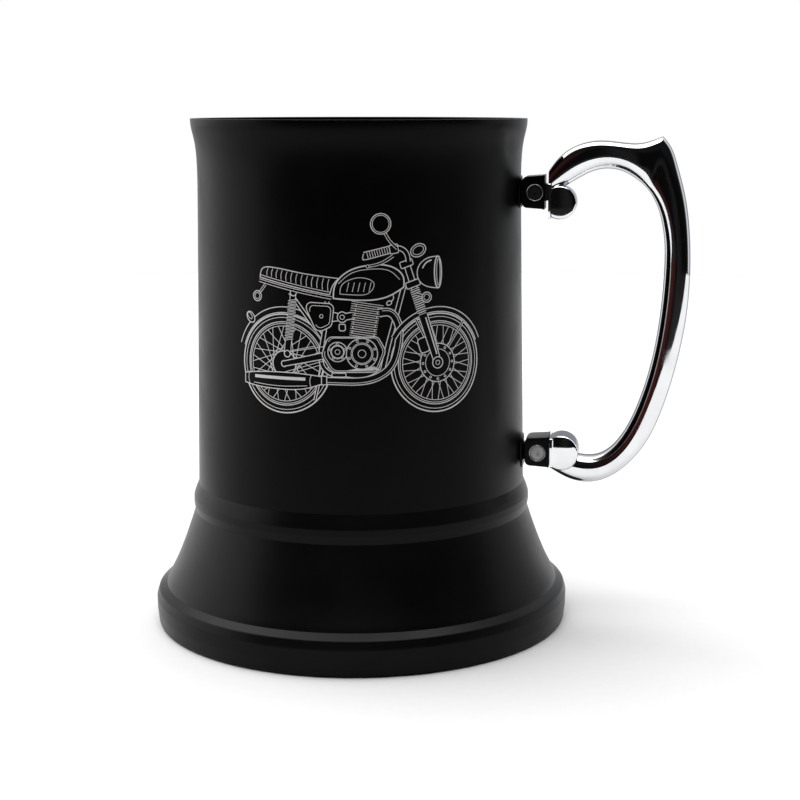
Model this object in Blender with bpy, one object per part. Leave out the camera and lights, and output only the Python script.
"""Black coated tankard with a plated D handle, built as separate pieces.

The cup is a double wall: an inner liner hangs by its lip inside an outer shell. A flared base skirt
with a rolled bead and a foot ring closes over the shell's lower end, and a pressed plate closes the foot.
The handle is one casting. At each end its tang laps a post welded to the shell, inside a black
socket block, and a rivet runs across through block, post and tang.

Frame: the origin is on the cup's axis at table height, +Z is up, and the handle is on the +X side.
Run with: blender --background --python part.py
"""

import math

import bmesh
import bpy
from mathutils import Matrix, Vector

MM = 0.001
GAP = 0.3 * MM  # clearance that touching pieces keep
WELD_GAP = 0.2 * MM  # the same, under the welded pads
SHEET = 0.5 * MM  # steel sheet of every turned piece
SEGMENTS = 48  # facets round the axis

# Cup
HEIGHT = 133 * MM
WALL_RADIUS_HIGH = 42.05 * MM  # outer shell, where the lip flare starts
WALL_RADIUS_LOW = 43.58 * MM  # outer shell, at its lower end
SHELL_BOTTOM = 30.6 * MM
FLARE_START = 123 * MM
FLARE_ARC_END = 129 * MM
FLARE_ANGLE = math.radians(15)
LIP_BAND_BOTTOM = 131.6 * MM  # above this the lip stands upright
LIP_ROUND = 0.25 * MM
LINER_RADIUS = 39.6 * MM
LINER_NECK_TOP = 126 * MM  # the liner leaves the shell here
LINER_NECK_BOTTOM = 117 * MM
LINER_FLOOR = 13.5 * MM
LINER_CORNER = 6 * MM

# Base skirt and plate
BEAD_TOP = 37.2 * MM
BEAD_TOP_RADIUS = 44.05 * MM
BEAD_RADIUS = 44.78 * MM
BEAD_MIDDLE = 34.3 * MM
CREASE_RADIUS = 44.35 * MM
CREASE_HEIGHT = 31 * MM
SKIRT_RADIUS_LOW = 52.5 * MM
SKIRT_LOW = 10.9 * MM
SKIRT_SAG = 0.55 * MM  # how far the flare bows in from a straight cone
SHOULDER_RADIUS = 54.5 * MM
SHOULDER_HEIGHT = 9.2 * MM
FOOT_RADIUS = 55.2 * MM
FOOT_MIDDLE = 6 * MM
FOOT_ROUND = 1.1 * MM
HEM_INNER_RADIUS = 50.5 * MM
PLATE_RECESS = 0.4 * MM
PLATE_RIM_RADIUS = 53 * MM

# Handle joints
UPPER_JOINT_HEIGHT = 113.9 * MM
LOWER_JOINT_HEIGHT = 46.0 * MM
PAD_SIZE = 8.2 * MM
PAD_THICKNESS = 0.6 * MM
PAD_CORNER = 1.0 * MM
POST_HEIGHT = 4.4 * MM
POST_WIDTH = 3.4 * MM
BLOCK_LENGTH = 6.0 * MM
BLOCK_WIDTH = 8.0 * MM
BLOCK_HEIGHT_IN = 7.7 * MM  # on the cup's side
BLOCK_HEIGHT_OUT = 8.7 * MM  # on the handle's side
BLOCK_CORNER = 1.1 * MM
RIVET_HEAD_RADIUS = 2.2 * MM
RIVET_HEAD_THICKNESS = 0.8 * MM
RIVET_SHANK_RADIUS = 1.2 * MM
RIVET_RECESS = 0.2 * MM

# Handle casting
HANDLE_WIDTH = 8.4 * MM
BOSS_WIDTH = 9.0 * MM
UPPER_BOSS = (52.5 * MM, 111.5 * MM, 4.3 * MM)  # x, z, radius
LOWER_BOSS = (53.2 * MM, 46.1 * MM, 4.8 * MM)
END_PLATE = 0.7 * MM
UPPER_PLATE_SPAN = (108.2 * MM, 117 * MM)
LOWER_PLATE_SPAN = (43.6 * MM, 50.3 * MM)
# Each station is (outer x, outer z, inner x, inner z, width as a share of HANDLE_WIDTH), in millimetres,
# from the upper joint over the arch, the thumb spur and the grip to the lower joint.
HANDLE_STATIONS = (
    (49.2, 118.7, 49.2, 112.6, 0.96),
    (54.2, 124.6, 56.3, 117.0, 1.0),
    (62.0, 127.4, 62.5, 119.9, 1.0),
    (70.5, 126.8, 69.5, 119.2, 1.0),
    (78.8, 128.5, 75.0, 115.1, 0.86),
    (82.3, 122.4, 77.4, 111.2, 0.93),
    (85.0, 112.5, 79.1, 105.5, 1.0),
    (86.5, 96.0, 79.8, 96.0, 1.0),
    (84.8, 76.0, 78.2, 77.5, 1.0),
    (79.9, 57.5, 74.0, 60.3, 1.0),
    (72.5, 44.2, 68.0, 48.6, 1.0),
    (64.5, 38.4, 62.5, 44.8, 1.0),
    (57.5, 38.0, 57.0, 45.2, 1.0),
    (50.2, 41.7, 50.2, 47.0, 0.96),
)
SPUR_STATION = 4
STEPS_PER_STATION = 3
SECTION_POINTS = 14


# ---------------------------------------------------------------- materials and objects


def make_material(name, colour, roughness, metallic):
    """A Principled material."""
    material = bpy.data.materials.new(name)
    material.use_nodes = True
    shader = material.node_tree.nodes["Principled BSDF"]
    shader.inputs["Base Color"].default_value = (*colour, 1)
    shader.inputs["Roughness"].default_value = roughness
    shader.inputs["Metallic"].default_value = metallic
    return material


def add_object(name, bm, material):
    """Turns a bmesh into a named object with outward faces and smooth round surfaces."""
    bmesh.ops.recalc_face_normals(bm, faces=bm.faces)
    mesh = bpy.data.meshes.new(name)
    bm.to_mesh(mesh)
    bm.free()
    mesh.shade_smooth()
    mesh.set_sharp_from_angle(angle=math.radians(35))
    if material:
        mesh.materials.append(material)
    obj = bpy.data.objects.new(name, mesh)
    bpy.context.scene.collection.objects.link(obj)
    return obj


def add_cutter(name, bm):
    """A helper that is cut away or joined in, and isn't a piece itself."""
    cutter = add_object(name, bm, None)
    cutter.hide_render = True
    cutter.display_type = "WIRE"
    return cutter


def add_boolean(obj, helper, operation):
    """A Boolean modifier that keeps Blender's EXACT solver."""
    modifier = obj.modifiers.new(helper.name, "BOOLEAN")
    modifier.operation = operation
    modifier.object = helper


# ---------------------------------------------------------------- profiles


def turn(profile, closed=True, axis=(0, 0, 1), centre=(0, 0, 0), segments=SEGMENTS):
    """Spins a profile of (radius, height) points round an axis along Z, or along Y for a rivet.

    A closed profile is a ring's section; an open one starts and ends on the axis.
    """
    along_z = axis[2] == 1
    bm = bmesh.new()
    verts = []
    for radius, height in profile:
        place = (radius, 0, height) if along_z else (radius, height, 0)
        verts.append(bm.verts.new(Vector(place) + Vector(centre)))
    ends = list(zip(verts, verts[1:] + verts[:1])) if closed else list(zip(verts, verts[1:]))
    edges = [bm.edges.new(pair) for pair in ends]
    bmesh.ops.spin(
        bm, geom=verts + edges, cent=centre, axis=axis, angle=2 * math.pi, steps=segments, use_merge=True
    )
    bmesh.ops.remove_doubles(bm, verts=bm.verts, dist=0.001 * MM)
    return bm


def arc(centre, radius, start, end, steps):
    """Points on an arc of the profile plane, with the angles in degrees from +radius towards +height."""
    points = []
    for i in range(steps + 1):
        angle = math.radians(start + (end - start) * i / steps)
        points.append((centre[0] + radius * math.cos(angle), centre[1] + radius * math.sin(angle)))
    return points


def bowed(start, end, sag, steps):
    """Points from start to end on a shallow parabola that bows by sag to the left of the direction."""
    (r0, z0), (r1, z1) = start, end
    length = math.hypot(r1 - r0, z1 - z0)
    normal = (-(z1 - z0) / length, (r1 - r0) / length)
    points = []
    for i in range(steps + 1):
        t = i / steps
        bow = sag * 4 * t * (1 - t)
        points.append((r0 + (r1 - r0) * t + normal[0] * bow, z0 + (z1 - z0) * t + normal[1] * bow))
    return points


def offset(points, distance):
    """The polyline moved to the left of its direction by distance, with mitred corners."""
    moved = []
    for i, point in enumerate(points):
        before = Vector(point) - Vector(points[i - 1]) if i else None
        after = Vector(points[i + 1]) - Vector(point) if i + 1 < len(points) else None
        normals = [Vector((-d.y, d.x)).normalized() for d in (before, after) if d is not None]
        middle = sum(normals, Vector((0, 0))).normalized()
        reach = distance / max(middle.dot(normals[0]), 0.3)
        moved.append((point[0] + middle.x * reach, point[1] + middle.y * reach))
    return moved


def wall_radius(height):
    """Radius of the outer shell's outside: a slight taper, then the flare to the lip."""
    share = (height - SHELL_BOTTOM) / (FLARE_START - SHELL_BOTTOM)
    if height <= FLARE_START:
        return WALL_RADIUS_LOW + (WALL_RADIUS_HIGH - WALL_RADIUS_LOW) * share
    arc_radius = (FLARE_ARC_END - FLARE_START) / math.sin(FLARE_ANGLE)
    in_arc = min(height, FLARE_ARC_END) - FLARE_START
    radius = WALL_RADIUS_HIGH + arc_radius - math.sqrt(arc_radius**2 - in_arc**2)
    straight = min(height, LIP_BAND_BOTTOM) - FLARE_ARC_END
    return radius + max(0, straight) * math.tan(FLARE_ANGLE)


def lip_heights(lowest):
    """The heights that the flare's outline needs, downwards from the lip."""
    heights = (LIP_BAND_BOTTOM, FLARE_ARC_END, 127 * MM, 125 * MM, FLARE_START)
    return [height for height in heights if height >= lowest]


def lip_edge(outer, inner):
    """The rounded top edge of a sheet between two radii, from the outside to the inside."""
    return [
        (outer, HEIGHT - LIP_ROUND),
        (outer - LIP_ROUND / 2, HEIGHT),
        (inner + LIP_ROUND / 2, HEIGHT),
        (inner, HEIGHT - LIP_ROUND),
    ]


# ---------------------------------------------------------------- cup


def build_outer_shell(material):
    """The visible wall: a tapered tube with a flared lip."""
    outside = [(wall_radius(z), z) for z in reversed(lip_heights(FLARE_START))]
    outside.insert(0, (wall_radius(SHELL_BOTTOM), SHELL_BOTTOM))
    lip = lip_edge(outside[-1][0], outside[-1][0] - SHEET)
    inside = [(radius - SHEET, height) for radius, height in reversed(outside)]
    return add_object("outer_shell", turn(outside + lip + inside), material)


def liner_radius(height):
    """Radius of the liner's outside: against the shell at the lip, then necked in to the straight wall."""
    nested = wall_radius(max(height, LINER_NECK_TOP)) - SHEET - GAP
    share = min(1, max(0, (LINER_NECK_TOP - height) / (LINER_NECK_TOP - LINER_NECK_BOTTOM)))
    return nested + (LINER_RADIUS - nested) * (3 * share**2 - 2 * share**3)


def build_inner_liner(material):
    """The cup that holds the drink, open at the top."""
    neck = [LINER_NECK_TOP - (LINER_NECK_TOP - LINER_NECK_BOTTOM) * i / 4 for i in range(5)]
    wall = [(liner_radius(z), z) for z in [*lip_heights(LINER_NECK_TOP), *neck]]
    corner_centre = (LINER_RADIUS - LINER_CORNER, LINER_FLOOR + LINER_CORNER)
    outside = wall + arc(corner_centre, LINER_CORNER, 0, -90, 4) + [(0, LINER_FLOOR)]
    corner = arc(corner_centre, LINER_CORNER - SHEET, -90, 0, 4)
    inside = [(0, LINER_FLOOR + SHEET), *corner, *[(r - SHEET, z) for r, z in reversed(wall)]]
    lip = lip_edge(wall[0][0], wall[0][0] - SHEET)
    profile = inside[:-1] + [inside[-1], *reversed(lip)] + outside
    return add_object("inner_liner", turn(profile, closed=False), material)


def skirt_outline():
    """The skirt's outside below the bead, from the crease down to the hem's inner edge."""
    flare = bowed((CREASE_RADIUS, CREASE_HEIGHT), (SKIRT_RADIUS_LOW, SKIRT_LOW), -SKIRT_SAG, 5)
    bottom_centre = (FOOT_RADIUS - 0.3 * MM - FOOT_ROUND, FOOT_ROUND)
    return [
        *flare,
        (SHOULDER_RADIUS, SHOULDER_HEIGHT),
        (FOOT_RADIUS - 0.25 * MM, SHOULDER_HEIGHT - 0.9 * MM),
        (FOOT_RADIUS, FOOT_MIDDLE),
        *arc(bottom_centre, FOOT_ROUND, 0, -90, 3),
        (HEM_INNER_RADIUS, 0),
    ]


def build_base_skirt(material):
    """Bead, flare, shoulder and foot ring, spun from one sheet and hemmed in under the foot."""
    crown = (BEAD_RADIUS, BEAD_MIDDLE)
    bead_top = [(BEAD_TOP_RADIUS, BEAD_TOP), *bowed((BEAD_TOP_RADIUS, BEAD_TOP), crown, 0.16 * MM, 2)[1:]]
    outside = bead_top + bowed(crown, (CREASE_RADIUS, CREASE_HEIGHT), 0.1 * MM, 2)[1:-1] + skirt_outline()
    inside = offset(skirt_outline(), -SHEET)
    seat = wall_radius(SHELL_BOTTOM) + GAP
    inside[0] = (seat, CREASE_HEIGHT)
    neck = (wall_radius(BEAD_TOP) + GAP, BEAD_TOP)
    return add_object("base_skirt", turn([*outside, *reversed(inside), neck]), material)


def build_base_plate(material):
    """A pressed disc: its rim lies on the hem, and its middle is pressed down towards the table."""
    rim_under = SHEET + GAP
    step_radius = HEM_INNER_RADIUS - GAP
    profile = [
        (0, PLATE_RECESS),
        (step_radius - 0.4 * MM, PLATE_RECESS),
        (step_radius, rim_under),
        (PLATE_RIM_RADIUS, rim_under),
        (PLATE_RIM_RADIUS, rim_under + SHEET),
        (step_radius - 0.2 * MM, rim_under + SHEET),
        (step_radius - 0.6 * MM, PLATE_RECESS + SHEET),
        (0, PLATE_RECESS + SHEET),
    ]
    return add_object("base_plate", turn(profile, closed=False), material)


# ---------------------------------------------------------------- handle joints


def prism(outline, thickness, plane):
    """A flat outline made solid by extruding it across the middle of its plane, "XY" or "XZ"."""
    bm = bmesh.new()
    half = thickness / 2
    if plane == "XY":
        verts = [bm.verts.new((x, y, -half)) for x, y in outline]
        step = Vector((0, 0, thickness))
    else:
        verts = [bm.verts.new((x, -half, z)) for x, z in outline]
        step = Vector((0, thickness, 0))
    face = bm.faces.new(verts)
    grown = bmesh.ops.extrude_face_region(bm, geom=[face])
    moved = [v for v in grown["geom"] if isinstance(v, bmesh.types.BMVert)]
    bmesh.ops.translate(bm, verts=moved, vec=step)
    return bm


def box(low, high):
    """A box between two corners."""
    bm = bmesh.new()
    size = Vector(high) - Vector(low)
    middle = (Vector(high) + Vector(low)) / 2
    bmesh.ops.create_cube(bm, size=1, matrix=Matrix.Translation(middle) @ Matrix.Diagonal((*size, 1)))
    return bm


def cross_pin(centre, radius, length, segments=16):
    """A cylinder along Y."""
    half = length / 2
    profile = [(0, -half), (radius, -half), (radius, half), (0, half)]
    return turn(profile, closed=False, axis=(0, 1, 0), centre=centre, segments=segments)


class Joint:
    """The sizes of one handle joint, worked out from its height and the wall behind it."""

    def __init__(self, name, height):
        self.name = name
        self.height = height
        self.pad_inner = wall_radius(height) + WELD_GAP
        self.block_in = self.pad_inner + PAD_THICKNESS + GAP
        self.block_out = self.block_in + BLOCK_LENGTH
        self.face = self.block_out + GAP  # where the handle's end plate starts
        self.rivet = (self.block_in + 0.54 * BLOCK_LENGTH, 0, height)

    def lap(self, from_x, to_x, side):
        """One half of the lap joint: full width outside the block, half width past the shoulder."""
        direction = 1 if to_x > from_x else -1
        shoulder = (self.block_in if direction > 0 else self.block_out) + direction * 0.5 * MM
        tip = to_x - direction * 0.8 * MM
        half = POST_WIDTH / 2
        outline = [(from_x, -half), (shoulder, -half), (tip, -half), (tip, -GAP / 2)]
        outline += [(shoulder, -GAP / 2), (shoulder, half), (from_x, half)]
        bm = prism([(x, side * y) for x, y in outline], POST_HEIGHT, "XY")
        bmesh.ops.translate(bm, verts=bm.verts, vec=(0, 0, self.height))
        return bm


def rounded_square(half, corner):
    """The corner-rounded outline of a square."""
    outline = []
    for quarter in range(4):
        turn_by = 90 * quarter
        sign_x = 1 if quarter in (0, 3) else -1
        sign_z = 1 if quarter < 2 else -1
        centre = (sign_x * (half - corner), sign_z * (half - corner))
        outline += arc(centre, corner, turn_by, turn_by + 90, 3)
    return outline


def build_mount_post(joint, material):
    """A pad welded to the shell, curved as the shell is, with the post that enters the socket block."""
    half = PAD_SIZE / 2
    reach = 1.5 * half
    low, high = joint.height - reach, joint.height + reach
    inner = [(wall_radius(low) + WELD_GAP, low), (wall_radius(high) + WELD_GAP, high)]
    outer = [(radius + PAD_THICKNESS, height) for radius, height in reversed(inner)]
    pad = add_object(f"{joint.name}_mount_post", turn(inner + outer), material)
    square = prism(rounded_square(half, PAD_CORNER), 30 * MM, "XZ")
    bmesh.ops.rotate(square, verts=square.verts, matrix=Matrix.Rotation(math.pi / 2, 3, "Z"))
    bmesh.ops.translate(square, verts=square.verts, vec=(joint.pad_inner, 0, joint.height))
    add_boolean(pad, add_cutter(f"{joint.name}_pad_outline", square), "INTERSECT")
    post = joint.lap(joint.pad_inner + PAD_THICKNESS / 2, joint.block_out, 1)
    add_boolean(pad, add_cutter(f"{joint.name}_post", post), "UNION")
    hole = cross_pin(joint.rivet, RIVET_SHANK_RADIUS + GAP, 2 * POST_WIDTH)
    add_boolean(pad, add_cutter(f"{joint.name}_post_hole", hole), "DIFFERENCE")
    return pad


def build_socket_block(joint, material):
    """The black block over the lap joint: a sleeve that widens towards the handle."""
    x0, x1 = joint.block_in, joint.block_out
    z = joint.height + 0.15 * MM
    low, high = BLOCK_HEIGHT_IN / 2, BLOCK_HEIGHT_OUT / 2
    outline = [(x1, z - high), (x1, z + high)]
    outline += arc((x0 + BLOCK_CORNER, z + low - BLOCK_CORNER), BLOCK_CORNER, 80, 180, 4)
    outline += arc((x0 + BLOCK_CORNER, z - low + BLOCK_CORNER), BLOCK_CORNER, 180, 280, 4)
    block = add_object(f"{joint.name}_socket_block", prism(outline, BLOCK_WIDTH, "XZ"), material)
    room_y = POST_WIDTH / 2 + GAP
    room_z = POST_HEIGHT / 2 + GAP
    cavity = box(
        (x0 - MM, -room_y, joint.height - room_z), (x1 + MM, room_y, joint.height + room_z)
    )
    add_boolean(block, add_cutter(f"{joint.name}_cavity", cavity), "DIFFERENCE")
    hole = cross_pin(joint.rivet, RIVET_SHANK_RADIUS + GAP, 2 * BLOCK_WIDTH)
    add_boolean(block, add_cutter(f"{joint.name}_block_hole", hole), "DIFFERENCE")
    depth = RIVET_RECESS + RIVET_HEAD_THICKNESS + GAP
    for side in (-1, 1):
        centre = (joint.rivet[0], side * BLOCK_WIDTH / 2, joint.height)
        seat = cross_pin(centre, RIVET_HEAD_RADIUS + GAP, 2 * depth, segments=24)
        add_boolean(block, add_cutter(f"{joint.name}_seat_{side + 1}", seat), "DIFFERENCE")
    return block


def build_rivet(joint, material):
    """A shank with a flat head at each end, sunk just below the block's faces."""
    end = BLOCK_WIDTH / 2 - RIVET_RECESS
    under = end - RIVET_HEAD_THICKNESS
    edge = 0.2 * MM
    half = [(0, end), (RIVET_HEAD_RADIUS - edge, end), (RIVET_HEAD_RADIUS, end - edge)]
    half += [(RIVET_HEAD_RADIUS, under), (RIVET_SHANK_RADIUS, under)]
    profile = half + [(radius, -y) for radius, y in reversed(half)]
    bm = turn(profile, closed=False, axis=(0, 1, 0), centre=joint.rivet, segments=24)
    return add_object(f"{joint.name}_rivet", bm, material)


# ---------------------------------------------------------------- handle


def smooth_between(knots, index, t):
    """A Catmull-Rom point between two knots, which keeps the spur as a sharp corner."""
    last = len(knots) - 1
    p1, p2 = Vector(knots[index]), Vector(knots[index + 1])
    starts_at_corner = index in (0, SPUR_STATION)
    ends_at_corner = index + 1 in (SPUR_STATION, last)
    p0 = 2 * p1 - p2 if starts_at_corner else Vector(knots[index - 1])
    p3 = 2 * p2 - p1 if ends_at_corner else Vector(knots[index + 2])
    a = 2 * p1
    b = p2 - p0
    c = 2 * p0 - 5 * p1 + 4 * p2 - p3
    d = 3 * p1 - p0 - 3 * p2 + p3
    return (a + b * t + c * t**2 + d * t**3) / 2


def section_point(angle):
    """(inner to outer, across) in -1 to 1: rounded towards the fingers, squarer on the outside."""
    along, across = math.cos(angle), math.sin(angle)
    power = 0.62 if along > 0 else 0.92
    return (
        math.copysign(abs(along) ** power, along),
        math.copysign(abs(across) ** 0.72, across),
    )


def handle_bar():
    """The bent bar, lofted through its stations from the upper joint to the lower one."""
    outer_knots = [(s[0] * MM, s[1] * MM) for s in HANDLE_STATIONS]
    inner_knots = [(s[2] * MM, s[3] * MM) for s in HANDLE_STATIONS]
    bm = bmesh.new()
    rings = []
    count = (len(HANDLE_STATIONS) - 1) * STEPS_PER_STATION
    for i in range(count + 1):
        index = min(i // STEPS_PER_STATION, len(HANDLE_STATIONS) - 2)
        t = i / STEPS_PER_STATION - index
        outer = smooth_between(outer_knots, index, t)
        inner = smooth_between(inner_knots, index, t)
        width = HANDLE_STATIONS[index][4] * (1 - t) + HANDLE_STATIONS[index + 1][4] * t
        ring = []
        for k in range(SECTION_POINTS):
            along, across = section_point(2 * math.pi * k / SECTION_POINTS)
            x, z = (outer + inner) / 2 + (outer - inner) / 2 * along
            ring.append(bm.verts.new((x, across * width * HANDLE_WIDTH / 2, z)))
        rings.append(ring)
    for ring, following in zip(rings, rings[1:]):
        for k in range(SECTION_POINTS):
            after = (k + 1) % SECTION_POINTS
            bm.faces.new((ring[k], ring[after], following[after], following[k]))
    bm.faces.new(reversed(rings[0]))
    bm.faces.new(rings[-1])
    return bm


def boss_outline(radius):
    """Half of a scroll boss's section: a drum along Y with rounded rims and slightly domed ends."""
    half = BOSS_WIDTH / 2
    rim = 0.7 * MM
    end = [(0, half), (0.6 * radius, half - 0.2 * MM), (radius - rim, half - 0.5 * MM)]
    end += [(radius - 0.2 * MM, half - 0.8 * MM), (radius, half - 1.3 * MM)]
    return end + [(r, -y) for r, y in reversed(end)]


def build_handle(joints, material):
    """One casting: the bar, and at each end a scroll boss, a flat end plate and a tang."""
    handle = add_object("handle", handle_bar(), material)
    ends = zip(joints, (UPPER_BOSS, LOWER_BOSS), (UPPER_PLATE_SPAN, LOWER_PLATE_SPAN))
    for joint, (x, z, radius), (low, high) in ends:
        boss = turn(boss_outline(radius), closed=False, axis=(0, 1, 0), centre=(x, 0, z), segments=28)
        add_boolean(handle, add_cutter(f"{joint.name}_boss", boss), "UNION")
        half = HANDLE_WIDTH / 2 - 0.3 * MM
        plate = box((joint.face - MM, -half, low), (joint.face + END_PLATE, half, high))
        add_boolean(handle, add_cutter(f"{joint.name}_end_plate", plate), "UNION")
        trim = box((joint.block_in, -10 * MM, z - 12 * MM), (joint.face, 10 * MM, z + 12 * MM))
        add_boolean(handle, add_cutter(f"{joint.name}_trim", trim), "DIFFERENCE")
        tang = joint.lap(joint.face + END_PLATE / 2, joint.block_in, -1)
        add_boolean(handle, add_cutter(f"{joint.name}_tang", tang), "UNION")
        hole = cross_pin(joint.rivet, RIVET_SHANK_RADIUS + GAP, 2 * POST_WIDTH)
        add_boolean(handle, add_cutter(f"{joint.name}_tang_hole", hole), "DIFFERENCE")
    return handle


def main():
    """Clears the scene and builds every piece."""
    for obj in list(bpy.data.objects):
        bpy.data.objects.remove(obj)
    coat = make_material("black_coat", (0.012, 0.012, 0.013), 0.45, 0.0)
    steel = make_material("liner_steel", (0.55, 0.55, 0.56), 0.3, 1.0)
    chrome = make_material("handle_chrome", (0.8, 0.8, 0.82), 0.05, 1.0)
    rivet_steel = make_material("rivet_steel", (0.45, 0.45, 0.46), 0.35, 1.0)
    build_outer_shell(coat)
    build_inner_liner(steel)
    build_base_skirt(coat)
    build_base_plate(coat)
    joints = (Joint("upper", UPPER_JOINT_HEIGHT), Joint("lower", LOWER_JOINT_HEIGHT))
    for joint in joints:
        build_mount_post(joint, coat)
        build_socket_block(joint, coat)
        build_rivet(joint, rivet_steel)
    build_handle(joints, chrome)


main()
